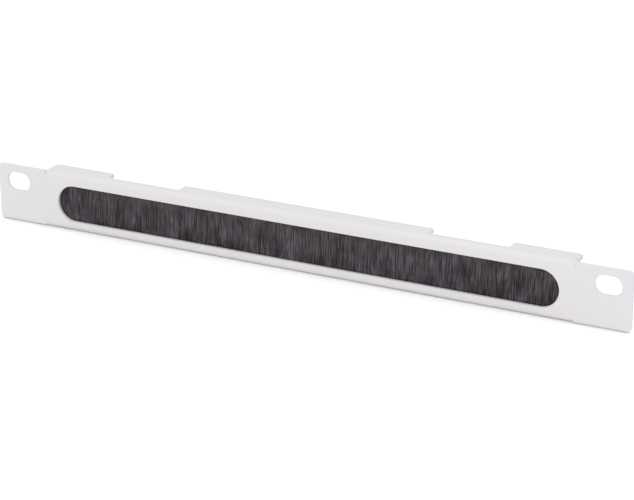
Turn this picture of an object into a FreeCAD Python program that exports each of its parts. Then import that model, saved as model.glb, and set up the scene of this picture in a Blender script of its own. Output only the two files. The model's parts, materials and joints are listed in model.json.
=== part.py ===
import FreeCAD, Part
import math
import os

# Brush cable-entry panel for a ten-inch rack, half a height unit tall.
# A folded steel faceplate has a slotted ear at each end, a long round-ended window between
# them, a flange along the top that is cut into three tabs, and a plain flange underneath.
# A strip brush hangs behind the window: its bristles are folded over a core wire and crimped
# into a small steel channel.  A retaining rail clamps the channel into the corner between
# face and top flange.  Its two end lugs sit on weld studs, under spring washers and nuts.
#
# Frame: X runs along the panel, +Y points into the rack, +Z is up.  The origin is midway
# between the two rack slots, on the back face of the ears, which seats on the rack's rails.

# Faceplate
PANEL_WIDTH = 254.0          # over both ears
PANEL_HEIGHT = 22.2          # half a height unit
SHEET = 1.5                  # thickness of the faceplate's steel
EAR_CORNER_R = 1.5
EAR_RISE = 0.4               # the ears' lower edges stand this much clear of the bottom flange
EDGE_BREAK = 0.2             # every cut edge is broken this much before coating
SLOT_INSET = 8.7375          # end of the panel to a slot's centre: 236.525 mm between centres
SLOT_LENGTH = 9.8
SLOT_HEIGHT = 6.9
SLOT_DROP = 6.35             # top edge of the panel to the slots' centre line
WINDOW_INSET = 26.25         # end of the panel to the end of the window
LAND_ABOVE = 4.6             # top edge of the panel to the window
LAND_BELOW = 3.6             # bottom edge of the panel to the window

# Flanges
FLANGE_INSET = 21.0          # end of the panel to the end of a flange
BEND_INNER_R = 0.4
TAB_DEPTH = 9.0              # front face to the rear edge of a tab
RECESS_DEPTH = 4.0           # front face to the edge between two tabs
BOTTOM_DEPTH = 9.0           # front face to the rear edge of the bottom flange
MIDDLE_TAB = 101.0
RECESS_LENGTH = 30.0
TAB_CORNER_R = 1.2
END_CORNER_CUT = 0.6         # rear corners cut off at the ends of both flanges
RECESS_CORNER_R = 0.8
RELIEF_WIDTH = 0.1           # cut beside each end of a flange, nearly closed by the coating

# Strip brush
BRUSH_COVER = 0.75           # how far the brush reaches past each end of the window
CHANNEL_WIDTH = 3.4
CHANNEL_HEIGHT = 2.9
CHANNEL_WALL = 0.4
CHANNEL_INNER_R = 0.6
CHANNEL_MOUTH = 1.9          # inside width between the crimped lips
CRIMP_HEIGHT = 0.9           # how far above the mouth the walls start to lean in
CORE_WIRE_D = 1.0
CORE_WIRE_PROUD = 0.3        # how far the wire stands out of each end of the channel
BRISTLE_FIT = 0.05           # between the bristles and the metal that holds them
TIP_THICKNESS = 3.1          # the bristles spread a little towards their tips
TIP_OVERLAP = 1.25           # how far the tips reach below the window
TUFT_PITCH = 1.75
TUFT_SWAY = 0.25             # how unevenly the tufts are spaced, as a share of the pitch
TUFT_DEPTH = 0.18            # furrow between two tufts
TUFT_GAP = 0.3               # width of the gap between two tufts at their tips
TUFT_GAP_HEIGHT = 7.0        # how far the longest gap runs up from the tips
SHORTEST_GAP = 0.3           # the shortest gap, as a share of the longest
TIP_RAGGED = 0.7             # longest less shortest tuft

# Retaining rail and its fixings
RAIL_SHEET = 1.0
RAIL_HEIGHT = 4.4
RAIL_BEND_R = 0.6
FLANGE_GAP = 0.15            # channel and rail to the underside of the top flange
JOGGLE_START = 0.5           # end of the channel to the foot of the joggle
JOGGLE_RUN = 1.6             # length of the slope between rail and lug
LUG_HEIGHT = 8.2
LUG_EDGE = 3.0               # stud's axis to the end of the lug
LUG_CORNER_R = 1.5
LUG_HOLE_D = 3.4
STUD_D = 3.0
STUD_LENGTH = 7.0            # back face of the panel to the stud's end
STUD_FLANGE_D = 4.5
STUD_FLANGE = 0.5            # thickness of the welded foot
STUD_CHAMFER = 0.35
WASHER_D = 5.6
WASHER_BORE_D = 3.2
WASHER_THICKNESS = 0.8
WASHER_ROOM = 0.3            # washer to the bend of the lug
WASHER_GAP = 0.6             # width of the split
WASHER_SLANT = 25.0          # degrees between the split and the radius
NUT_FLATS = 5.5
NUT_HEIGHT = 2.4
NUT_BORE_FIT = 0.02          # radial, between the nut's bore and the stud
NUT_CHAMFER = 30.0           # degrees, on the six corners
NUT_COUNTERSINK = 0.25

# Cutting shapes reach this far past what they cut
OVERCUT = 1.0

# Slack for telling lengths and directions apart
SAME_POINT = 1e-7
LENGTH_SLACK = 0.01
TURN_SLACK = 0.05

# Places that follow from the sizes
TOP = SLOT_DROP
BOTTOM = TOP - PANEL_HEIGHT
FRONT = -SHEET
SLOT_X = PANEL_WIDTH / 2 - SLOT_INSET
FLANGE_LENGTH = PANEL_WIDTH - 2 * FLANGE_INSET
WINDOW_LENGTH = PANEL_WIDTH - 2 * WINDOW_INSET
BRUSH_LENGTH = WINDOW_LENGTH + 2 * BRUSH_COVER
WINDOW_HEIGHT = PANEL_HEIGHT - LAND_ABOVE - LAND_BELOW
WINDOW_BOTTOM = BOTTOM + LAND_BELOW
WINDOW_Z = WINDOW_BOTTOM + WINDOW_HEIGHT / 2
CHANNEL_TOP = TOP - SHEET - FLANGE_GAP
MOUTH_Z = CHANNEL_TOP - CHANNEL_HEIGHT
BRUSH_Y = CHANNEL_WIDTH / 2
FOLD_R = CHANNEL_WIDTH / 2 - CHANNEL_WALL - BRISTLE_FIT
FOLD_CROWN_R = CHANNEL_INNER_R
WIRE_Z = CHANNEL_TOP - CHANNEL_WALL - BRISTLE_FIT - FOLD_R
TIP_Z = WINDOW_BOTTOM - TIP_OVERLAP
LUG_START = BRUSH_LENGTH / 2 + JOGGLE_START + JOGGLE_RUN
JOGGLE_TURN = math.atan2(CHANNEL_WIDTH - STUD_FLANGE, JOGGLE_RUN)
LUG_FLAT_START = LUG_START + (RAIL_SHEET + RAIL_BEND_R) * math.tan(JOGGLE_TURN / 2)
STUD_X = LUG_FLAT_START + WASHER_ROOM + WASHER_D / 2
LUG_END = STUD_X + LUG_EDGE
STUD_Z = CHANNEL_TOP - LUG_HEIGHT / 2
LUG_BACK = STUD_FLANGE + RAIL_SHEET
GOLDEN_ANGLE = math.pi * (3 - math.sqrt(5))


def on_yz(x):
    """Places outline points (y, z) on the plane at x."""
    return lambda p: FreeCAD.Vector(x, p[0], p[1])


def on_xz(y):
    """Places outline points (x, z) on the plane at y."""
    return lambda p: FreeCAD.Vector(p[0], y, p[1])


def on_xy(z):
    """Places outline points (x, y) on the plane at z."""
    return lambda p: FreeCAD.Vector(p[0], p[1], z)


def rounded_wire(corners, place):
    """Closed wire through (point, radius) corners, each rounded by its own radius."""
    edges = []
    last_end = None
    first_start = None
    count = len(corners)
    for i in range(count):
        (px, py), radius = corners[i]
        before = corners[i - 1][0]
        after = corners[(i + 1) % count][0]
        back = unit(before[0] - px, before[1] - py)
        ahead = unit(after[0] - px, after[1] - py)
        half = math.acos(max(-1.0, min(1.0, back[0] * ahead[0] + back[1] * ahead[1]))) / 2
        if radius > 0:
            reach = radius / math.tan(half)
            start = (px + back[0] * reach, py + back[1] * reach)
            end = (px + ahead[0] * reach, py + ahead[1] * reach)
            middle = unit(back[0] + ahead[0], back[1] + ahead[1])
            depth = radius / math.sin(half) - radius
            crown = (px + middle[0] * depth, py + middle[1] * depth)
        else:
            start = end = (px, py)
        if last_end is not None:
            add_line(edges, place(last_end), place(start))
        else:
            first_start = start
        if radius > 0:
            edges.append(Part.Arc(place(start), place(crown), place(end)).toShape())
        last_end = end
    add_line(edges, place(last_end), place(first_start))
    return Part.Wire(edges)


def unit(a, b):
    length = math.hypot(a, b)
    return (a / length, b / length)


def add_line(edges, a, b):
    if a.distanceToPoint(b) > SAME_POINT:
        edges.append(Part.LineSegment(a, b).toShape())


def prism(corners, place, direction):
    """Solid swept from a rounded outline along a vector."""
    return Part.Face(rounded_wire(corners, place)).extrude(FreeCAD.Vector(*direction))


def box_corners(a0, b0, a1, b1, radius=0.0):
    return [((a0, b0), radius), ((a1, b0), radius), ((a1, b1), radius), ((a0, b1), radius)]


def obround(x, z, length, height, y0, y1):
    """Round-ended prism through the sheet, from y0 to y1."""
    place = on_xz(y0)
    r = height / 2
    straight = length / 2 - r
    edges = []
    for side in (1, -1):
        start = place((x + side * straight, z - side * r))
        crown = place((x + side * length / 2, z))
        end = place((x + side * straight, z + side * r))
        edges.append(Part.Arc(start, crown, end).toShape())
        edges.append(Part.LineSegment(end, place((x - side * straight, z + side * r))).toShape())
    return Part.Face(Part.Wire(edges)).extrude(FreeCAD.Vector(0, y1 - y0, 0))


def folded_strip(points, sheet, inner_r):
    """Outline of folded sheet whose left-hand face follows the points, seen along them."""
    shifted = []
    for i, point in enumerate(points):
        normals = []
        for a, b in ((i - 1, i), (i, i + 1)):
            if 0 <= a and b < len(points):
                along = unit(points[b][0] - points[a][0], points[b][1] - points[a][1])
                normals.append((along[1], -along[0]))
        bisector = unit(sum(n[0] for n in normals), sum(n[1] for n in normals))
        reach = sheet / (bisector[0] * normals[0][0] + bisector[1] * normals[0][1])
        shifted.append((point[0] + bisector[0] * reach, point[1] + bisector[1] * reach))
    left = []
    right = []
    for i, point in enumerate(points):
        if i in (0, len(points) - 1):
            left.append((point, 0.0))
            right.append((shifted[i], 0.0))
            continue
        ax = point[0] - points[i - 1][0]
        ay = point[1] - points[i - 1][1]
        bx = points[i + 1][0] - point[0]
        by = points[i + 1][1] - point[1]
        turns_left = ax * by - ay * bx > 0
        left.append((point, inner_r if turns_left else inner_r + sheet))
        right.append((shifted[i], inner_r + sheet if turns_left else inner_r))
    return left + right[::-1]


def flange_section(depth, top):
    """Section (y, z) of the bend and flange at the panel's top edge, or at its bottom edge."""
    edge = TOP if top else BOTTOM
    inward = -1 if top else 1
    outer_r = BEND_INNER_R + SHEET
    face_end = edge + inward * outer_r
    outside = [(FRONT, face_end), (FRONT, edge), (FRONT + depth, edge)]
    inside_z = edge + inward * SHEET
    inside = [(FRONT + depth, inside_z), (0.0, inside_z), (0.0, face_end)]
    radii = [0.0, outer_r, 0.0, 0.0, BEND_INNER_R, 0.0]
    return list(zip(outside + inside, radii))


def top_flange_plan():
    """Plan (x, y) of the top flange: a middle tab, two recesses and two end tabs."""
    half = FLANGE_LENGTH / 2
    tab = FRONT + TAB_DEPTH
    recess = FRONT + RECESS_DEPTH
    inner = MIDDLE_TAB / 2
    outer = inner + RECESS_LENGTH
    right = [
        ((inner, tab), TAB_CORNER_R),
        ((inner, recess), RECESS_CORNER_R),
        ((outer, recess), RECESS_CORNER_R),
        ((outer, tab), TAB_CORNER_R),
        ((half - END_CORNER_CUT, tab), 0.0),
        ((half, tab - END_CORNER_CUT), 0.0),
        ((half, FRONT - OVERCUT), 0.0),
    ]
    left = [((-x, y), radius) for (x, y), radius in right[::-1]]
    return left + right


def bottom_flange_plan():
    """Plan (x, y) of the bottom flange, a plain strip with its rear corners cut off."""
    half = FLANGE_LENGTH / 2
    rear = FRONT + BOTTOM_DEPTH
    return [
        ((-half, FRONT - OVERCUT), 0.0),
        ((-half, rear - END_CORNER_CUT), 0.0),
        ((END_CORNER_CUT - half, rear), 0.0),
        ((half - END_CORNER_CUT, rear), 0.0),
        ((half, rear - END_CORNER_CUT), 0.0),
        ((half, FRONT - OVERCUT), 0.0),
    ]


def folded_flange(depth, top):
    half = FLANGE_LENGTH / 2
    bend = prism(flange_section(depth, top), on_yz(-half), (FLANGE_LENGTH, 0, 0))
    plan = top_flange_plan() if top else bottom_flange_plan()
    trim = prism(plan, on_xy(BOTTOM - OVERCUT), (0, 0, PANEL_HEIGHT + 2 * OVERCUT))
    return bend.common(trim)


def cut_edges(shape):
    """Square edges where the blank was cut, but for the reliefs and corners through the sheet."""
    relief_start = FLANGE_LENGTH / 2 - LENGTH_SLACK
    relief_end = FLANGE_LENGTH / 2 + RELIEF_WIDTH + LENGTH_SLACK
    found = []
    for edge in shape.Edges:
        point = edge.valueAt((edge.FirstParameter + edge.LastParameter) / 2)
        lies_along_y = abs(edge.tangentAt(edge.FirstParameter).y) > 1 - TURN_SLACK
        runs_through = lies_along_y and edge.Length < SHEET + LENGTH_SLACK
        if runs_through or relief_start < abs(point.x) < relief_end:
            continue
        sides = [face for face in shape.Faces if any(edge.isSame(e) for e in face.Edges)]
        normals = [face_normal(face, point) for face in sides]
        if len(normals) == 2 and abs(normals[0].dot(normals[1])) < TURN_SLACK:
            found.append(edge)
    return found


def face_normal(face, point):
    u, v = face.Surface.parameter(point)
    return face.normalAt(u, v)


def faceplate():
    half_w = PANEL_WIDTH / 2
    outline = box_corners(-half_w, BOTTOM + EAR_RISE, half_w, TOP, EAR_CORNER_R)
    plate = prism(outline, on_xz(FRONT), (0, SHEET, 0))
    outer_r = BEND_INNER_R + SHEET
    relief_half = FLANGE_LENGTH / 2 + RELIEF_WIDTH
    for edge, inward in ((TOP, -1), (BOTTOM, 1)):
        low, high = sorted((edge + inward * outer_r, edge - inward * OVERCUT))
        strip = box_corners(-relief_half, low, relief_half, high)
        plate = plate.cut(prism(strip, on_xz(FRONT - OVERCUT), (0, SHEET + 2 * OVERCUT, 0)))
    plate = plate.fuse([folded_flange(TAB_DEPTH, True), folded_flange(BOTTOM_DEPTH, False)])
    plate = plate.removeSplitter()
    through = (FRONT - OVERCUT, OVERCUT)
    plate = plate.cut(obround(0, WINDOW_Z, WINDOW_LENGTH, WINDOW_HEIGHT, *through))
    for x in (-SLOT_X, SLOT_X):
        plate = plate.cut(obround(x, 0, SLOT_LENGTH, SLOT_HEIGHT, *through))
    return plate.makeChamfer(EDGE_BREAK, cut_edges(plate))


def channel_section():
    """Section (y, z) of the crimped channel, open downwards."""
    lip = CHANNEL_MOUTH / 2 + CHANNEL_WALL
    knee = MOUTH_Z + CRIMP_HEIGHT
    outside = [
        (BRUSH_Y + lip, MOUTH_Z),
        (CHANNEL_WIDTH, knee),
        (CHANNEL_WIDTH, CHANNEL_TOP),
        (0.0, CHANNEL_TOP),
        (0.0, knee),
        (BRUSH_Y - lip, MOUTH_Z),
    ]
    return folded_strip(outside[::-1], CHANNEL_WALL, CHANNEL_INNER_R)


def brush_channel():
    return prism(channel_section(), on_yz(-BRUSH_LENGTH / 2), (BRUSH_LENGTH, 0, 0))


def core_wire():
    length = BRUSH_LENGTH + 2 * CORE_WIRE_PROUD
    start = FreeCAD.Vector(-length / 2, BRUSH_Y, WIRE_Z)
    return Part.makeCylinder(CORE_WIRE_D / 2, length, start, FreeCAD.Vector(1, 0, 0))


def retaining_rail():
    lug_front = STUD_FLANGE
    joggle_foot = BRUSH_LENGTH / 2 + JOGGLE_START
    right = [
        (joggle_foot, CHANNEL_WIDTH),
        (joggle_foot + JOGGLE_RUN, lug_front),
        (LUG_END, lug_front),
    ]
    left = [(-x, y) for x, y in right[::-1]]
    plan = folded_strip((left + right)[::-1], RAIL_SHEET, RAIL_BEND_R)
    lug_z = CHANNEL_TOP - LUG_HEIGHT
    rail = prism(plan, on_xy(lug_z - OVERCUT), (0, 0, LUG_HEIGHT + 2 * OVERCUT))
    strip_z = CHANNEL_TOP - RAIL_HEIGHT
    side = [
        ((LUG_START, strip_z), 0.0),
        ((LUG_START, lug_z), LUG_CORNER_R),
        ((LUG_END, lug_z), LUG_CORNER_R),
        ((LUG_END, CHANNEL_TOP), LUG_CORNER_R),
    ]
    mirrored = [((-x, z), radius) for (x, z), radius in side[::-1]]
    depth = CHANNEL_WIDTH + RAIL_SHEET + OVERCUT
    rail = rail.common(prism(mirrored + side, on_xz(0.0), (0, depth, 0)))
    for x in (-STUD_X, STUD_X):
        start = FreeCAD.Vector(x, 0.0, STUD_Z)
        hole = Part.makeCylinder(LUG_HOLE_D / 2, LUG_BACK + OVERCUT, start, FreeCAD.Vector(0, 1, 0))
        rail = rail.cut(hole)
    return rail


def turned(profile, x):
    """Solid of revolution about the stud's axis at x, from (radius, y) profile points."""
    points = [FreeCAD.Vector(x + r, y, STUD_Z) for r, y in profile]
    face = Part.Face(Part.makePolygon(points + points[:1]))
    return face.revolve(FreeCAD.Vector(x, 0, STUD_Z), FreeCAD.Vector(0, 1, 0), 360)


def weld_stud(x):
    r = STUD_D / 2
    profile = [
        (0, 0),
        (STUD_FLANGE_D / 2, 0),
        (STUD_FLANGE_D / 2, STUD_FLANGE),
        (r, STUD_FLANGE),
        (r, STUD_LENGTH - STUD_CHAMFER),
        (r - STUD_CHAMFER, STUD_LENGTH),
        (0, STUD_LENGTH),
    ]
    return turned(profile, x)


def spring_washer(x):
    start = LUG_BACK
    profile = [
        (WASHER_BORE_D / 2, start),
        (WASHER_D / 2, start),
        (WASHER_D / 2, start + WASHER_THICKNESS),
        (WASHER_BORE_D / 2, start + WASHER_THICKNESS),
    ]
    ring = turned(profile, x)
    split = Part.makeBox(WASHER_D, WASHER_THICKNESS + 2 * OVERCUT, WASHER_GAP)
    split.translate(FreeCAD.Vector(x, start - OVERCUT, STUD_Z - WASHER_GAP / 2))
    middle = FreeCAD.Vector(x + (WASHER_D + WASHER_BORE_D) / 4, start, STUD_Z)
    split.rotate(middle, FreeCAD.Vector(0, 1, 0), WASHER_SLANT)
    return ring.cut(split)


def hex_nut(x):
    start = LUG_BACK + WASHER_THICKNESS
    end = start + NUT_HEIGHT
    corner_r = NUT_FLATS / math.sqrt(3)
    hexagon = []
    for i in range(6):
        angle = math.radians(60 * i)
        hexagon.append(((x + corner_r * math.cos(angle), STUD_Z + corner_r * math.sin(angle)), 0.0))
    body = prism(hexagon, on_xz(start), (0, NUT_HEIGHT, 0))
    flat_r = NUT_FLATS / 2
    slope = (corner_r - flat_r) * math.tan(math.radians(NUT_CHAMFER))
    bore_r = STUD_D / 2 + NUT_BORE_FIT
    profile = [
        (bore_r, start + NUT_COUNTERSINK),
        (bore_r + NUT_COUNTERSINK, start),
        (flat_r, start),
        (corner_r, start + slope),
        (corner_r, end - slope),
        (flat_r, end),
        (bore_r + NUT_COUNTERSINK, end),
        (bore_r, end - NUT_COUNTERSINK),
    ]
    return body.common(turned(profile, x))


def bristle_section():
    """Section (y, z) of the bristle pack: folded over the wire, held at the mouth, spread below."""
    mouth = CHANNEL_MOUTH / 2 - BRISTLE_FIT
    tip = TIP_THICKNESS / 2
    knee = MOUTH_Z + CRIMP_HEIGHT
    crown_z = WIRE_Z + FOLD_R
    right = [
        ((BRUSH_Y + FOLD_R, crown_z), FOLD_CROWN_R),
        ((BRUSH_Y + FOLD_R, knee), 0.0),
        ((BRUSH_Y + mouth, MOUTH_Z), 0.0),
        ((BRUSH_Y + tip, TIP_Z), 0.0),
    ]
    left = [((2 * BRUSH_Y - y, z), radius) for (y, z), radius in right[::-1]]
    return left + right


def tuft_edges():
    """Where one tuft ends and the next begins, along X, unevenly spaced."""
    count = max(2, round(BRUSH_LENGTH / TUFT_PITCH))
    pitch = BRUSH_LENGTH / count
    edges = []
    for i in range(1, count):
        sway = TUFT_SWAY * math.sin(i * GOLDEN_ANGLE)
        edges.append(-BRUSH_LENGTH / 2 + (i + sway) * pitch)
    return edges


def furrow_tool(side, edges):
    """Comb that cuts the furrows between tufts on the front (-1) or rear (1) of the pack."""
    half = BRUSH_LENGTH / 2
    near = BRUSH_Y + side * TIP_THICKNESS / 2
    far = near + side * OVERCUT
    floor = near - side * TUFT_DEPTH
    corners = [((-half - OVERCUT, far), 0.0), ((-half - OVERCUT, near), 0.0)]
    last = -half
    for x in edges:
        corners.append((((last + x) / 2, near), 0.0))
        corners.append(((x, floor), 0.0))
        last = x
    corners.append((((last + half) / 2, near), 0.0))
    corners.append(((half + OVERCUT, near), 0.0))
    corners.append(((half + OVERCUT, far), 0.0))
    height = MOUTH_Z - TIP_Z + OVERCUT
    comb = prism(corners, on_xy(MOUTH_Z - height), (0, 0, height))
    spread = TIP_THICKNESS / 2 - (CHANNEL_MOUTH / 2 - BRISTLE_FIT)
    lean = math.degrees(math.atan2(spread, MOUTH_Z - TIP_Z))
    hinge = FreeCAD.Vector(0, near, TIP_Z)
    comb.rotate(hinge, FreeCAD.Vector(1, 0, 0), side * lean)
    return comb


def ragged_tool(edges):
    """Saw-edged bar that trims the tufts to uneven lengths and opens gaps between them."""
    half = BRUSH_LENGTH / 2
    below = TIP_Z - OVERCUT
    corners = [(half + OVERCUT, below), (-half - OVERCUT, below), (-half - OVERCUT, TIP_Z)]
    last = -half
    for i, x in enumerate(edges):
        wave = (1 + math.sin(i * i * GOLDEN_ANGLE)) / 2
        lift = TIP_Z + TIP_RAGGED * wave
        share = SHORTEST_GAP + (1 - SHORTEST_GAP) * wave
        gap_top = TIP_Z + TUFT_GAP_HEIGHT * share
        corners.append(((last + x) / 2, TIP_Z + TIP_RAGGED * (1 - wave) / 2))
        corners.append((x - TUFT_GAP / 2, lift))
        corners.append((x, gap_top))
        corners.append((x + TUFT_GAP / 2, lift))
        last = x
    corners.append((half + OVERCUT, TIP_Z))
    outline = [(corner, 0.0) for corner in corners]
    return prism(outline, on_xz(BRUSH_Y - TIP_THICKNESS), (0, 2 * TIP_THICKNESS, 0))


def bristles():
    pack = prism(bristle_section(), on_yz(-BRUSH_LENGTH / 2), (BRUSH_LENGTH, 0, 0))
    start = FreeCAD.Vector(-BRUSH_LENGTH / 2 - OVERCUT, BRUSH_Y, WIRE_Z)
    bore_r = CORE_WIRE_D / 2 + BRISTLE_FIT
    length = BRUSH_LENGTH + 2 * OVERCUT
    pack = pack.cut(Part.makeCylinder(bore_r, length, start, FreeCAD.Vector(1, 0, 0)))
    edges = tuft_edges()
    for tool in (furrow_tool(-1, edges), furrow_tool(1, edges), ragged_tool(edges)):
        pack = pack.cut(tool)
    return pack


def write(name, shape):
    solids = shape.Solids
    kept = solids[0] if len(solids) == 1 else Part.makeCompound(solids)
    kept.exportStep(os.path.join("parts", name + ".step"))
    print(name, len(solids), "solid(s)", round(kept.Volume, 2), "mm3", kept.isValid())


def main():
    os.makedirs("parts", exist_ok=True)
    write("faceplate", faceplate())
    write("brush_channel", brush_channel())
    write("core_wire", core_wire())
    write("bristles", bristles())
    write("retaining_rail", retaining_rail())
    for side, x in (("left", -STUD_X), ("right", STUD_X)):
        write("weld_stud_" + side, weld_stud(x))
        write("spring_washer_" + side, spring_washer(x))
        write("hex_nut_" + side, hex_nut(x))


main()
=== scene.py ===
import json
import math

import bpy
import numpy as np
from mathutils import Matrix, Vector


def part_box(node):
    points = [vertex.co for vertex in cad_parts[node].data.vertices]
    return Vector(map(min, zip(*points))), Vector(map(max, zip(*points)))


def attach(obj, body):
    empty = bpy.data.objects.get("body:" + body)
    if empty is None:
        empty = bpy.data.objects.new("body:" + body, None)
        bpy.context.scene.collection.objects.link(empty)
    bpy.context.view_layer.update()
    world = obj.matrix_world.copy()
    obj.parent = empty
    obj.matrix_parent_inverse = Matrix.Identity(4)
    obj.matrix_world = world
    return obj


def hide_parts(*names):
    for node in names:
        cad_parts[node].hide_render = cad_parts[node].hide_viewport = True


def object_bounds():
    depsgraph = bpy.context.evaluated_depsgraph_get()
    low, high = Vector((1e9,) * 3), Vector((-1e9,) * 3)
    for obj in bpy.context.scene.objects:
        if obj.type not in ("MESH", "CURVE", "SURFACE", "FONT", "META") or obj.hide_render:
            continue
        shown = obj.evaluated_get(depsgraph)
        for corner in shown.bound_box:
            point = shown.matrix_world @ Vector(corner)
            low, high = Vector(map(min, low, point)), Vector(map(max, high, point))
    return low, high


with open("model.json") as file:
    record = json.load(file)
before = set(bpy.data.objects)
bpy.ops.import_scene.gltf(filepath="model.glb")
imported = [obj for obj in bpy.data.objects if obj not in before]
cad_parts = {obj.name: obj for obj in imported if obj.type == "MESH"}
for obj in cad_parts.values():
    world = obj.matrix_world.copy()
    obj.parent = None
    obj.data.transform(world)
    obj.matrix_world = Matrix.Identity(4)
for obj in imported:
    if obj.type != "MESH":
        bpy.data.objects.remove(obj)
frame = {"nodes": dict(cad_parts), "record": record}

# A half-unit brush panel for a ten-inch rack: grey powder-coated steel round a long window that
# is closed by black nylon bristles.  The bristles hang from a crimped channel behind the
# window's upper edge.  Everything is in metres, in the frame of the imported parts.

MM = 0.001
CAD_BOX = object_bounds()
ROOT = "root"

# Camera, on the viewer's right of the panel and above it, tilted down onto the front
CAMERA_AIM = Vector((8.704, -1.5, -5.94)) * MM
CAMERA_TURN = math.radians(26.89)
CAMERA_TILT = math.radians(20.80)
CAMERA_DISTANCE = 810.6 * MM
CAMERA_LENS = 129.02              # in millimetres, as the frame's width is
CAMERA_FRAME = 36.0
CAMERA_NEAR = 10 * MM
CAMERA_FAR = 50.0

# Studio: an even pale room, two soft boxes and a white table
LAMPS = (                         # name, place, side of the square, watts
    ("key_light", (0.55, -1.15, 1.15), 1.2, 7.5),
    ("top_light", (0.05, 0.20, 1.62), 0.5, 2.8),
)
ROOM_COLOUR = (0.8, 0.8, 0.8, 1.0)
TABLE_HALF = 6.0
TABLE_GAP = 0.01 * MM             # keeps the table's face apart from the panel's underside
TABLE_Z = CAD_BOX[0][2] - TABLE_GAP
TABLE_COLOUR = 0.96
TABLE_LIFT = 0.26                 # added to that colour where it is seen, to make it plain white
PAINTED_CONTACT_SHADOW = 0.33              # taken off it again as a narrow painted shadow at the panel's foot
CONTACT_FULL = 0.5                # the painted shadow is full where this share of the sky or less is open
CONTACT_REACH = 8.0 * MM
CONTACT_SAMPLES = 8

# Strip brush.  Each strand is folded over the core wire and hangs down on both sides of it.
# Layers are counted from the wire outwards, and the outermost sways the most.
STRAND_R = 0.10 * MM
STRAND_SIDES = 3
STRAND_PITCH = 0.20 * MM
STRAND_LAYERS = 4
STRAND_SEED = 40                  # for the innermost layer; each further layer adds one
PITCH_UNEVEN = 0.35               # each strand's shift along the brush, as a share of the pitch
WIRE_CLEARANCE = 0.12 * MM        # innermost strand's middle line to the wire's surface
MOUTH_SQUEEZE = 0.78              # spread at the channel's mouth, as a share of that at the wire
INNER_SPREAD = 0.25               # of the innermost tips, as a share of the outermost tips' spread
INNER_LOOSENESS = 0.3             # sway of the innermost strands, as a share of the outermost's
TUFTS = ((1.3 * MM, 0.5), (4.2 * MM, 0.5))        # widths of tufts, and their share in the waves
TUFT_UNEVEN = 0.4                 # each tuft's shift along the brush, as a share of its width
TUFT_SWAY = 0.48 * MM             # how far whole tufts of the outer layer lean along the panel
TUFT_SINK = 0.42 * MM             # how far a furrow between tufts lies behind them
FURROW_WIDENING = 0.2             # added to the waves of the tufts, so that furrows get wider
STRAND_SWAY = 0.10 * MM           # how far single strands lean along the panel
STRAND_BOW = 0.07 * MM            # how far they bend sideways halfway down
STRAY_SHARE = 0.16                # of the strands of the outer layer
STRAY_SWAY = 0.75 * MM
END_FAN = 1.0 * MM                # outward lean of the strands at both ends of the brush
END_FAN_REACH = 9.0 * MM
TIP_UNEVEN = 0.55 * MM            # longest less shortest strand
TIP_UNEVEN_POWER = 1.5            # above 1, so that few strands are much shorter
TIP_SCATTER = 0.06 * MM           # how far single tips lie behind the others
LEAN_POWER = 1.6                  # above 1, so that strands lean more towards their tips
SPREAD_POWER = 0.7                # below 1, so that the brush spreads mostly near the mouth
LEG_STATIONS = (0.0, 0.22, 0.45, 0.7, 1.0)        # shares of the way from the mouth to the tip
FOLD_DEGREES = (180, 135, 90, 45, 0)              # over the wire, from the front to the rear

# Where the strands run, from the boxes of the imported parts
(BRUSH_LEFT, BRUSH_FRONT, BRUSH_FOOT), (BRUSH_RIGHT, BRUSH_REAR, BRUSH_TOP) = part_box("bristles")
WIRE_FOOT, WIRE_TOP = (corner[2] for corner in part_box("core_wire"))
BRUSH_Y = (BRUSH_FRONT + BRUSH_REAR) / 2
WIRE_Z = (WIRE_FOOT + WIRE_TOP) / 2
WIRE_R = (WIRE_TOP - WIRE_FOOT) / 2
MOUTH_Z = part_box("brush_channel")[0][2]
INNER_FOLD_R = WIRE_R + WIRE_CLEARANCE
OUTER_FOLD_R = BRUSH_TOP - WIRE_Z - STRAND_R
OUTER_SPREAD = (BRUSH_REAR - BRUSH_FRONT) / 2 - STRAND_R

# Painted light: the nylon lightens from the first height down to the second, towards the cut tips,
# to make up for the shade of the window's lower edge
PAINTED_LIGHT_FROM_Z = -9.1 * MM
PAINTED_LIGHT_TO_Z = -12.3 * MM
TIP_PAINTED_LIGHT = 1.6                    # painted light added at the tips, as a share of the strands' own tone

# Weld studs and their threads
STUD_R = 1.5 * MM
STUD_FOOT = 0.5 * MM              # thickness of the welded foot
STUD_BEVEL = 0.35 * MM            # at the free end
THREAD_PITCH = 0.5 * MM
THREAD_DEPTH = 0.27 * MM
THREAD_RUNOUT = 0.3 * MM          # over which the thread grows out of the foot
THREAD_PEAK = 1.35                # where the flanks would meet if the crest weren't flat, in depths
THREAD_SLOPE = 3.2                # of the flanks, in depths for each pitch
THREAD_SIDES = 32
THREAD_STEPS = 8                  # rings of points along one turn
SHARP_EDGE = math.radians(50)

# Inputs and output of a Mix node that are for colours.  It has others with the same names.
MIX_FACTOR, MIX_FIRST, MIX_SECOND, MIX_RESULT = 0, 6, 7, 2


# Shader expressions


class Wire:
    """A node's output.  Python's operators on it add Math nodes."""

    def __init__(self, nodes, socket):
        self.nodes = nodes
        self.socket = socket

    def _math(self, operation, *values):
        inputs = dict(enumerate(values))
        return self.nodes.node("ShaderNodeMath", {"operation": operation}, inputs)

    def __add__(self, other):
        return self._math("ADD", self, other)

    __radd__ = __add__

    def __sub__(self, other):
        return self._math("SUBTRACT", self, other)

    def __rsub__(self, other):
        return self._math("SUBTRACT", other, self)

    def __mul__(self, other):
        return self._math("MULTIPLY", self, other)

    __rmul__ = __mul__

    def highest(self, other):
        return self._math("MAXIMUM", self, other)


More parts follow.
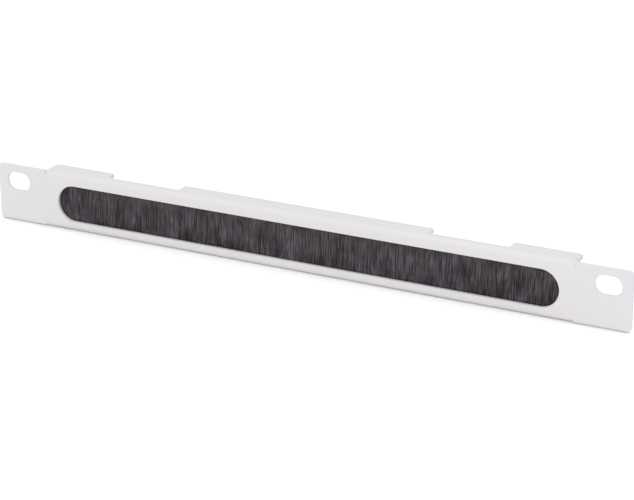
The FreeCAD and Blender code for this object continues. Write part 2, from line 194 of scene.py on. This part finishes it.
class Nodes:
    """The node tree of a material or world.  node() adds a node and returns one of its outputs."""

    def __init__(self, owner):
        owner.use_nodes = True
        self.owner = owner
        self.tree = owner.node_tree
        self.tree.nodes.clear()

    def node(self, kind, settings=None, inputs=None, output=0):
        """Adds a node: its settings first, then values or links for its sockets."""
        made = self.tree.nodes.new(kind)
        for name, value in (settings or {}).items():
            setattr(made, name, value)
        for key, value in (inputs or {}).items():
            if isinstance(value, Wire):
                self.tree.links.new(value.socket, made.inputs[key])
            else:
                made.inputs[key].default_value = value
        return Wire(self, made.outputs[output]) if len(made.outputs) else made

    def place(self):
        """Position in the object's own frame, in metres."""
        return self.node("ShaderNodeTexCoord", output="Object")

    def height(self, place):
        return self.node("ShaderNodeSeparateXYZ", inputs={"Vector": place}, output="Z")

    def noise(self, place, per_metre, detail=2.0, roughness=0.5):
        """Noise from 0 to 1, with so many cells per metre along x, y and z."""
        factors = {0: place, 1: per_metre}
        cells = self.node("ShaderNodeVectorMath", {"operation": "MULTIPLY"}, factors)
        inputs = {"Vector": cells, "Scale": 1.0, "Detail": detail, "Roughness": roughness}
        return self.node("ShaderNodeTexNoise", inputs=inputs)

    def rise(self, value, low, high):
        """0 up to low, 1 from high on, and straight between them."""
        inputs = {"Value": value, "From Min": low, "From Max": high}
        return self.node("ShaderNodeMapRange", inputs=inputs)

    def mix(self, factor, first, second):
        """Colour from the first (factor 0) to the second (factor 1)."""
        inputs = {MIX_FACTOR: factor, MIX_FIRST: first, MIX_SECOND: second}
        return self.node("ShaderNodeMix", {"data_type": "RGBA"}, inputs, MIX_RESULT)

    def scaled(self, colour, level):
        """The colour times a level."""
        inputs = {0: colour, "Scale": level}
        return self.node("ShaderNodeVectorMath", {"operation": "SCALE"}, inputs)

    def bump(self, height, distance, strength):
        inputs = {"Height": height, "Distance": distance, "Strength": strength}
        return self.node("ShaderNodeBump", inputs=inputs, output="Normal")

    def surface(self, **sockets):
        """Finishes the tree with a Principled shader; underscores stand for spaces."""
        inputs = {name.replace("_", " "): value for name, value in sockets.items()}
        return self.finish("Material", self.node("ShaderNodeBsdfPrincipled", inputs=inputs))

    def finish(self, kind, shader):
        """Links the shader to the output node of a Material or World, and returns the owner."""
        self.node("ShaderNodeOutput" + kind, inputs={"Surface": shader})
        return self.owner


def new_material(name):
    return Nodes(bpy.data.materials.new(name))


def violet_grey(level, tint=0.12):
    """Opaque grey with a touch of violet, because the tint takes green out."""
    return (level, level * (1.0 - tint), level, 1.0)


# Finishes


def powder_coat():
    """Light grey satin powder coat with the fine, slightly uneven skin that it cures to."""
    m = new_material("powder_coat")
    place = m.place()
    drift = m.noise(place, (18, 18, 18))
    skin = m.noise(place, (1500, 1500, 1500), 3, 0.55)
    grit = m.noise(place, (5200, 5200, 5200), 1)
    darker, lighter = violet_grey(0.725, 0.028), violet_grey(0.765, 0.028)
    return m.surface(
        Base_Color=m.mix(drift * 0.7 + grit * 0.3, darker, lighter),
        Roughness=0.40 + skin * 0.16 + drift * 0.06,
        Normal=m.bump(skin * 0.8 + grit * 0.2, 0.03 * MM, 0.55),
    )


def zinc_plate():
    """Zinc-plated steel: dull silver with soft spangle and fine rolling lines along the strip."""
    m = new_material("zinc_plate")
    place = m.place()
    spangle = m.noise(place, (900, 900, 900), roughness=0.6)
    lines = m.noise(place, (120, 6000, 6000))
    return m.surface(
        Base_Color=m.mix(spangle, (0.50, 0.52, 0.55, 1), (0.68, 0.69, 0.71, 1)),
        Metallic=1.0,
        Roughness=0.30 + spangle * 0.14 + lines * 0.12,
        Normal=m.bump(lines * 0.6 + spangle * 0.4, 0.01 * MM, 0.4),
    )


def core_steel():
    """Bare drawn wire with drawing marks along it."""
    m = new_material("core_steel")
    marks = m.noise(m.place(), (90, 9000, 9000))
    return m.surface(
        Base_Color=m.mix(marks, (0.38, 0.38, 0.39, 1), (0.58, 0.58, 0.58, 1)),
        Metallic=1.0,
        Roughness=0.28 + marks * 0.2,
        Normal=m.bump(marks, 0.01 * MM, 0.4),
    )


def copper_flash():
    """Steel stud with a thin copper flash, a little browner in patches."""
    m = new_material("copper_flash")
    patches = m.noise(m.place(), (1400, 1400, 1400), 3, 0.6)
    return m.surface(
        Base_Color=m.mix(patches, (0.50, 0.27, 0.18, 1), (0.80, 0.49, 0.36, 1)),
        Metallic=1.0,
        Roughness=0.30 + patches * 0.18,
        Normal=m.bump(patches, 0.008 * MM, 0.4),
    )


def nylon():
    """Black nylon strands, unlike each other in tone, with painted shade for the gaps between them
    and painted light towards the cut tips.
    """
    m = new_material("nylon")
    place = m.place()
    strand = m.rise(m.noise(place, (3600, 3600, 110), roughness=0.6), 0.35, 0.65)
    tuft = m.rise(m.noise(place, (1300, 1300, 90), roughness=0.6), 0.30, 0.70)
    band = m.rise(m.noise(place, (260, 260, 90), 1), 0.35, 0.65)
    patch = m.rise(m.noise(place, (140, 140, 120)), 0.35, 0.65)
    pale = m.rise(m.noise(place, (4200, 4200, 160), 1), 0.56, 0.64)
    # Painted shade: near-black random streaks stand for the shaded gaps between strands
    painted_gap_shade = m.rise(m.noise(place, (2900, 2900, 110), 1), 0.56, 0.66)
    share = tuft * 0.35 + strand * 0.40 + band * 0.25
    tone = m.mix(share, violet_grey(0.014), violet_grey(0.144))
    tone = m.mix(pale * 0.45, tone, violet_grey(0.24, 0.11))
    tone = m.mix(painted_gap_shade * 0.85, tone, violet_grey(0.006))
    # Painted light: lighter towards the tips, making up for the shade of the window's lower edge
    tip = m.rise(m.height(place), PAINTED_LIGHT_FROM_Z, PAINTED_LIGHT_TO_Z)
    level = (1 + tip * tip * TIP_PAINTED_LIGHT) * (0.68 + patch * 0.60)
    along = m.noise(place, (6000, 6000, 700), 1)
    return m.surface(
        Base_Color=m.scaled(tone, level),
        Specular_IOR_Level=0.25,
        Roughness=0.30 + along * 0.16,
        Normal=m.bump(along, 0.01 * MM, 0.3),
    )


FINISHES = {
    "powder_coat": powder_coat,
    "zinc_plate": zinc_plate,
    "core_steel": core_steel,
    "copper_flash": copper_flash,
    "bristle_black": nylon,
}


def finish_cad_nodes(materials):
    """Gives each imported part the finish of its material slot."""
    for part in frame["record"]["subparts"]:
        node = frame["nodes"][part["node"]]
        node.data.materials.clear()
        node.data.materials.append(materials[part["material_slot"]])


# Meshes


def mesh_piece(name, points, faces, material, replaced):
    """A mesh piece that rides on the root body and stands for the replaced node."""
    mesh = bpy.data.meshes.new(name)
    mesh.from_pydata(points, [], faces)
    mesh.validate()
    mesh.shade_smooth()
    mesh.materials.append(material)
    piece = bpy.data.objects.new(name, mesh)
    bpy.context.scene.collection.objects.link(piece)
    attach(piece, ROOT)
    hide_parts(replaced)
    return piece


def tube_mesh(paths, radius, sides):
    """Points and faces of closed tubes; paths is an array (tube, point, xyz)."""
    tubes, steps, _ = paths.shape
    along = np.gradient(paths, axis=1)
    along /= np.linalg.norm(along, axis=2, keepdims=True)
    across = np.cross(along, np.array([1.0, 0.0, 0.0]))
    across /= np.linalg.norm(across, axis=2, keepdims=True)
    beside = np.cross(along, across)
    turn = np.arange(sides) * 2 * np.pi / sides
    cos, sin = np.cos(turn)[:, None], np.sin(turn)[:, None]
    ring = across[:, :, None] * cos + beside[:, :, None] * sin
    points = (paths[:, :, None] + ring * radius).reshape(-1, 3)
    tube_start = np.arange(tubes)[:, None] * steps * sides
    ring_start = tube_start[:, :, None] + np.arange(steps - 1)[None, :, None] * sides
    a = ring_start + np.arange(sides)
    b = ring_start + (np.arange(sides) + 1) % sides
    walls = np.stack([a, b, b + sides, a + sides], axis=-1).reshape(-1, 4)
    first_cap = tube_start + np.arange(sides)
    last_cap = first_cap + (steps - 1) * sides
    return points, walls.tolist() + first_cap[:, ::-1].tolist() + last_cap.tolist()


# Bristles


def between(inner, outer, share):
    """A value for one layer of strands: share is 0 at the innermost and 1 at the outermost."""
    return inner + (outer - inner) * share


def strand_paths(share, rng):
    """Middle lines of one layer: front tip, up, over the wire and down to the rear tip."""
    length = BRUSH_RIGHT - BRUSH_LEFT - 2 * STRAND_R
    count = int(length / STRAND_PITCH)
    x = BRUSH_LEFT + STRAND_R + length * (np.arange(count) + 0.5) / count
    x += rng.uniform(-PITCH_UNEVEN, PITCH_UNEVEN, count) * STRAND_PITCH
    fold_r = between(INNER_FOLD_R, OUTER_FOLD_R, share)
    front, rear = (strand_leg(x, side, share, fold_r, rng) for side in (-1, 1))
    return np.stack(front[::-1] + strand_fold(x, fold_r) + rear, axis=1)


def strand_leg(x, side, share, fold_r, rng):
    """Points down each strand, from mouth to tip, on the front (-1) or rear (1) of the brush."""
    count = x.size
    looseness = between(INNER_LOOSENESS, 1, share)
    sway = TUFT_SWAY * looseness * tuft_waves(x, rng)
    sway += STRAND_SWAY * looseness * rng.normal(size=count)
    strays = rng.random(count) < STRAY_SHARE * share ** 2
    sway += strays * STRAY_SWAY * rng.normal(size=count)
    bow = STRAND_BOW * share * rng.normal(size=count)
    sink = TUFT_SINK * share * np.clip(tuft_waves(x, rng) + FURROW_WIDENING, 0, 1)
    end_share = np.clip(1 - (BRUSH_RIGHT - np.abs(x)) / END_FAN_REACH, 0, 1)
    sway += np.sign(x) * END_FAN * end_share ** 2
    tip_z = BRUSH_FOOT + TIP_UNEVEN * rng.random(count) ** TIP_UNEVEN_POWER
    spread = OUTER_SPREAD * between(INNER_SPREAD, 1, share)
    tip_y = BRUSH_Y + side * (spread - sink - TIP_SCATTER * rng.random(count))
    mouth_y = BRUSH_Y + side * MOUTH_SQUEEZE * min(fold_r, spread)
    points = []
    for station in LEG_STATIONS:
        px = x + sway * station ** LEAN_POWER + bow * math.sin(math.pi * station)
        px = np.clip(px, BRUSH_LEFT + STRAND_R, BRUSH_RIGHT - STRAND_R)
        py = mouth_y + (tip_y - mouth_y) * station ** SPREAD_POWER
        pz = MOUTH_Z + (tip_z - MOUTH_Z) * station
        points.append(np.stack([px, py, pz], axis=1))
    return points


def strand_fold(x, fold_r):
    """Points over the core wire, from the front to the rear."""
    points = []
    for degrees in FOLD_DEGREES:
        angle = math.radians(degrees)
        py = np.full(x.size, BRUSH_Y + fold_r * math.cos(angle))
        pz = np.full(x.size, WIRE_Z + fold_r * math.sin(angle))
        points.append(np.stack([x, py, pz], axis=1))
    return points


def tuft_waves(x, rng):
    """Smooth uneven values from -1 to 1 along the brush, as tufts of several widths give."""
    total = np.zeros(x.size)
    for width, share in TUFTS:
        knots = np.arange(x.min() - width, x.max() + 2 * width, width)
        knots += rng.uniform(-TUFT_UNEVEN, TUFT_UNEVEN, knots.size) * width
        total += share * np.interp(x, knots, rng.uniform(-1, 1, knots.size))
    return total


def make_bristles(material):
    for layer in range(STRAND_LAYERS):
        rng = np.random.default_rng(STRAND_SEED + layer)
        paths = strand_paths(layer / (STRAND_LAYERS - 1), rng)
        points, faces = tube_mesh(paths, STRAND_R, STRAND_SIDES)
        name = f"bristle_layer_{layer + 1}"
        mesh_piece(name, points.tolist(), faces, material, "bristles")


# Weld studs


def thread_radius(y, turn, foot_y, end_y):
    """Radius of the threaded shank at height y and at a share of the turn round it."""
    phase = (y / THREAD_PITCH - turn) % 1.0
    ridge = min(1.0, max(0.0, THREAD_PEAK - abs(phase - 0.5) * THREAD_SLOPE))
    ridge *= min(1.0, (y - foot_y) / THREAD_RUNOUT)
    thread_r = STUD_R - THREAD_DEPTH * (1 - ridge)
    return min(thread_r, STUD_R - STUD_BEVEL + (end_y - y))


def make_threaded_stud(node, material):
    """Weld stud: foot, threaded shank and bevelled end, turned about Y."""
    (left, start_y, foot_z), (right, end_y, top_z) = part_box(node)
    middle_x, middle_z = (left + right) / 2, (foot_z + top_z) / 2
    foot_r = (right - left) / 2
    foot_y = start_y + STUD_FOOT
    outline = ((start_y, foot_r), (foot_y, foot_r), (foot_y, STUD_R - THREAD_DEPTH))
    rings = [[place] * THREAD_SIDES for place in outline]
    steps = int((end_y - foot_y) / THREAD_PITCH * THREAD_STEPS)
    for i in range(1, steps + 1):
        y = foot_y + (end_y - foot_y) * i / steps
        turns = (j / THREAD_SIDES for j in range(THREAD_SIDES))
        rings.append([(y, thread_radius(y, turn, foot_y, end_y)) for turn in turns])
    points = []
    for ring in rings:
        for j, (y, r) in enumerate(ring):
            angle = 2 * math.pi * j / THREAD_SIDES
            points.append((middle_x + r * math.cos(angle), y, middle_z + r * math.sin(angle)))
    faces = [tuple(range(THREAD_SIDES))]
    for start in range(0, len(points) - THREAD_SIDES, THREAD_SIDES):
        for j in range(THREAD_SIDES):
            a = start + j
            b = start + (j + 1) % THREAD_SIDES
            faces.append((b, a, a + THREAD_SIDES, b + THREAD_SIDES))
    faces.append(tuple(range(len(points) - 1, len(points) - 1 - THREAD_SIDES, -1)))
    piece = mesh_piece(node + "_threaded", points, faces, material, node)
    piece.data.set_sharp_from_angle(angle=SHARP_EDGE)


# Table, room, lamps and camera


def make_table():
    """White table: it lights the panel from below, keeps the panel's shadow, and has a narrow
    shadow at the panel's foot painted into the colour that is seen.
    """
    m = new_material("table_white")
    rays = [m.node("ShaderNodeLightPath", output=f"Is {way} Ray")
            for way in ("Camera", "Glossy", "Transmission")]
    seen = rays[0].highest(rays[1]).highest(rays[2])
    # Painted shadow: where ambient occlusion finds the panel near, the seen colour is darkened
    settings, reach = {"samples": CONTACT_SAMPLES}, {"Distance": CONTACT_REACH}
    open_sky = m.node("ShaderNodeAmbientOcclusion", settings, reach, "AO")
    closed = m.rise(open_sky, 1.0, CONTACT_FULL)
    lift = TABLE_LIFT - PAINTED_CONTACT_SHADOW * closed * closed
    colour = TABLE_COLOUR + seen * lift
    material = m.finish("Material", m.node("ShaderNodeBsdfDiffuse", inputs={"Color": colour}))
    quarters = ((-1, -1), (1, -1), (1, 1), (-1, 1))
    corners = [(x * TABLE_HALF, y * TABLE_HALF, 0) for x, y in quarters]
    mesh = bpy.data.meshes.new("table")
    mesh.from_pydata(corners, [], [tuple(range(len(corners)))])
    mesh.materials.append(material)
    table = bpy.data.objects.new("table", mesh)
    table.location.z = TABLE_Z
    bpy.context.scene.collection.objects.link(table)


def make_room():
    """Even pale room, which lights the panel and shows in the metal."""
    m = Nodes(bpy.data.worlds.new("pale_room"))
    walls = m.node("ShaderNodeBackground", inputs={"Color": ROOM_COLOUR, "Strength": 1.0})
    bpy.context.scene.world = m.finish("World", walls)


def make_lamps():
    """Square soft boxes that face the panel: one from the front right, one from above."""
    for name, place, side, watts in LAMPS:
        lamp = bpy.data.lights.new(name, "AREA")
        lamp.shape = "SQUARE"
        lamp.size = side
        lamp.energy = watts
        box = bpy.data.objects.new(name, lamp)
        box.location = place
        box.rotation_euler = (-Vector(place)).to_track_quat("-Z", "Y").to_euler()
        bpy.context.scene.collection.objects.link(box)


def make_camera():
    camera = bpy.data.cameras.new("camera")
    camera.lens = CAMERA_LENS
    camera.sensor_width = CAMERA_FRAME
    camera.clip_start = CAMERA_NEAR
    camera.clip_end = CAMERA_FAR
    holder = bpy.data.objects.new("camera", camera)
    flat = math.cos(CAMERA_TILT)
    x, y = -math.sin(CAMERA_TURN) * flat, math.cos(CAMERA_TURN) * flat
    holder.location = CAMERA_AIM - CAMERA_DISTANCE * Vector((x, y, -math.sin(CAMERA_TILT)))
    holder.rotation_euler = (math.pi / 2 - CAMERA_TILT, 0.0, CAMERA_TURN)
    bpy.context.scene.collection.objects.link(holder)
    bpy.context.scene.camera = holder


def main():
    materials = {slot: make() for slot, make in FINISHES.items()}
    finish_cad_nodes(materials)
    make_bristles(materials["bristle_black"])
    for node in ("weld_stud_left", "weld_stud_right"):
        make_threaded_stud(node, materials["copper_flash"])
    make_table()
    make_room()
    make_lamps()
    make_camera()
    bpy.context.scene.view_settings.view_transform = "Standard"


main()
